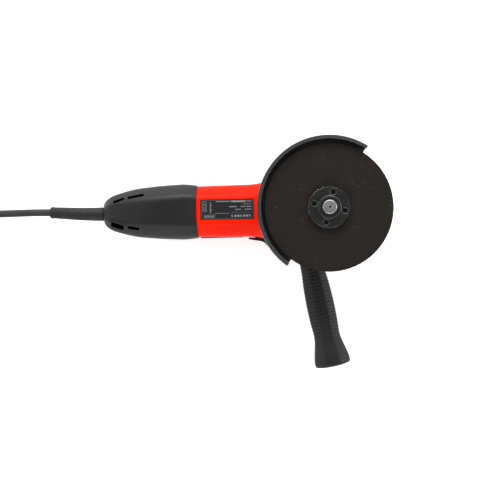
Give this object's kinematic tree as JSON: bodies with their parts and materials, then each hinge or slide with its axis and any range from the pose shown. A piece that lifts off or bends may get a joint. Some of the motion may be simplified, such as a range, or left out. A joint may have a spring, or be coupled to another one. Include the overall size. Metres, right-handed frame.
{
  "type": "angle grinder",
  "caption": "Corded one-hand angle grinder for 125 mm discs, with a turnable wheel guard, side handle, slide switch, spindle lock, bevel gears and a coiled mains cord.",
  "frame": {"origin": "spindle axis in the plane of the gear case roof, which the tool lies on", "axes": "+X along the motor towards the gear head, -Y towards the fitted side handle, +Z along the spindle towards the disc"},
  "size_m": [0.5385, 0.2336, 0.0975],
  "materials": {
    "red_plastic": "glass-filled nylon, satin moulded",
    "black_plastic": "glass-filled nylon, fine texture",
    "inner_plastic": "plain moulded nylon",
    "cast_alloy": "die-cast aluminium, black powder paint",
    "guard_steel": "pressed steel, satin black paint worn on the lip",
    "black_steel": "black oxide steel",
    "bright_steel": "machined steel",
    "abrasive": "resin-bonded aluminium oxide grain",
    "lamination": "stacked electrical steel",
    "copper": "enamelled copper wire and copper bars",
    "carbon": "pressed carbon",
    "brass": "pressed sheet brass",
    "rubber": "moulded rubber",
    "cord_rubber": "rubber cord sheath and plug",
    "label": "printed film",
    "felt": "pressed felt"
  },
  "bodies": {
    "root": {"air_baffle": "inner_plastic", "armature_front_bearing": "bright_steel", "armature_rear_bearing": "bright_steel", "bearing_boot": "rubber", "bearing_cover": "cast_alloy", "bearing_retainer": "bright_steel", "brush_holder_lower": "brass", "brush_holder_upper": "brass", "carbon_brush_lower": "carbon", "carbon_brush_upper": "carbon", "cord_clamp": "inner_plastic", "cord_coil": "cord_rubber", "cover_screw_1": "black_steel", "cover_screw_2": "black_steel", "cover_screw_3": "black_steel", "cover_screw_4": "black_steel", "dust_seal": "felt", "field_coil_left": "copper", "field_coil_right": "copper", "gear_case": "cast_alloy", "gear_case_screw_1": "black_steel", "gear_case_screw_2": "black_steel", "gear_case_screw_3": "black_steel", "gear_case_screw_4": "black_steel", "handle_grip": "black_plastic", "handle_stud": "bright_steel", "lock_spring": "bright_steel", "mains_plug": "cord_rubber", "motor_housing": "red_plastic", "needle_bearing": "bright_steel", "power_cord": "cord_rubber", "rating_label": "label", "rear_cover_left": "black_plastic", "rear_cover_right": "black_plastic", "rear_cover_screw_1": "bright_steel", "rear_cover_screw_2": "bright_steel", "spindle_bearing_outer": "bright_steel", "stator_core": "lamination", "strain_relief": "rubber", "switch_body": "inner_plastic"},
    "guard": {"wheel_guard": "guard_steel", "guard_clamp_band": "bright_steel", "guard_clamp_screw": "black_steel"},
    "spindle": {"spindle": "bright_steel", "drive_gear": "black_steel", "spindle_bearing_inner": "bright_steel", "spindle_bearing_balls": "bright_steel", "inner_flange": "black_steel", "abrasive_disc": "abrasive", "flange_nut": "black_steel"},
    "armature": {"armature_shaft": "bright_steel", "armature_core": "lamination", "armature_winding": "copper", "commutator": "copper", "cooling_fan": "inner_plastic", "pinion_gear": "black_steel"},
    "switch": {"slide_button": "black_plastic", "switch_rod": "inner_plastic"},
    "lock": {"lock_button": "black_plastic"}
  },
  "joints": [
    {"name": "spindle_spin", "type": "hinge", "parent": "root", "child": "spindle", "pos_m": [0, 0, 0.0853], "axis": [0, 0, 1], "continuous": true},
    {"name": "armature_spin", "type": "hinge", "parent": "root", "child": "armature", "pos_m": [-0.089, 0, 0.031], "axis": [1, 0, 0], "continuous": true},
    {"name": "guard_turn", "type": "hinge", "parent": "root", "child": "guard", "pos_m": [0, 0, 0.066], "axis": [0, 0, 1], "range_deg": [-60, 90]},
    {"name": "switch_slide", "type": "slide", "parent": "root", "child": "switch", "axis": [1, 0, 0], "range_m": [0, 0.007], "stiffness_N_per_m": 300, "springref_m": -0.003},
    {"name": "lock_press", "type": "slide", "parent": "root", "child": "lock", "axis": [0, 0, 1], "range_m": [0, 0.005], "stiffness_N_per_m": 500, "springref_m": -0.003, "deforming": ["lock_spring"]}
  ],
  "couplings": [
    {"joint": "armature_spin", "follows": "spindle_spin", "ratio": 3.3636}
  ]
}
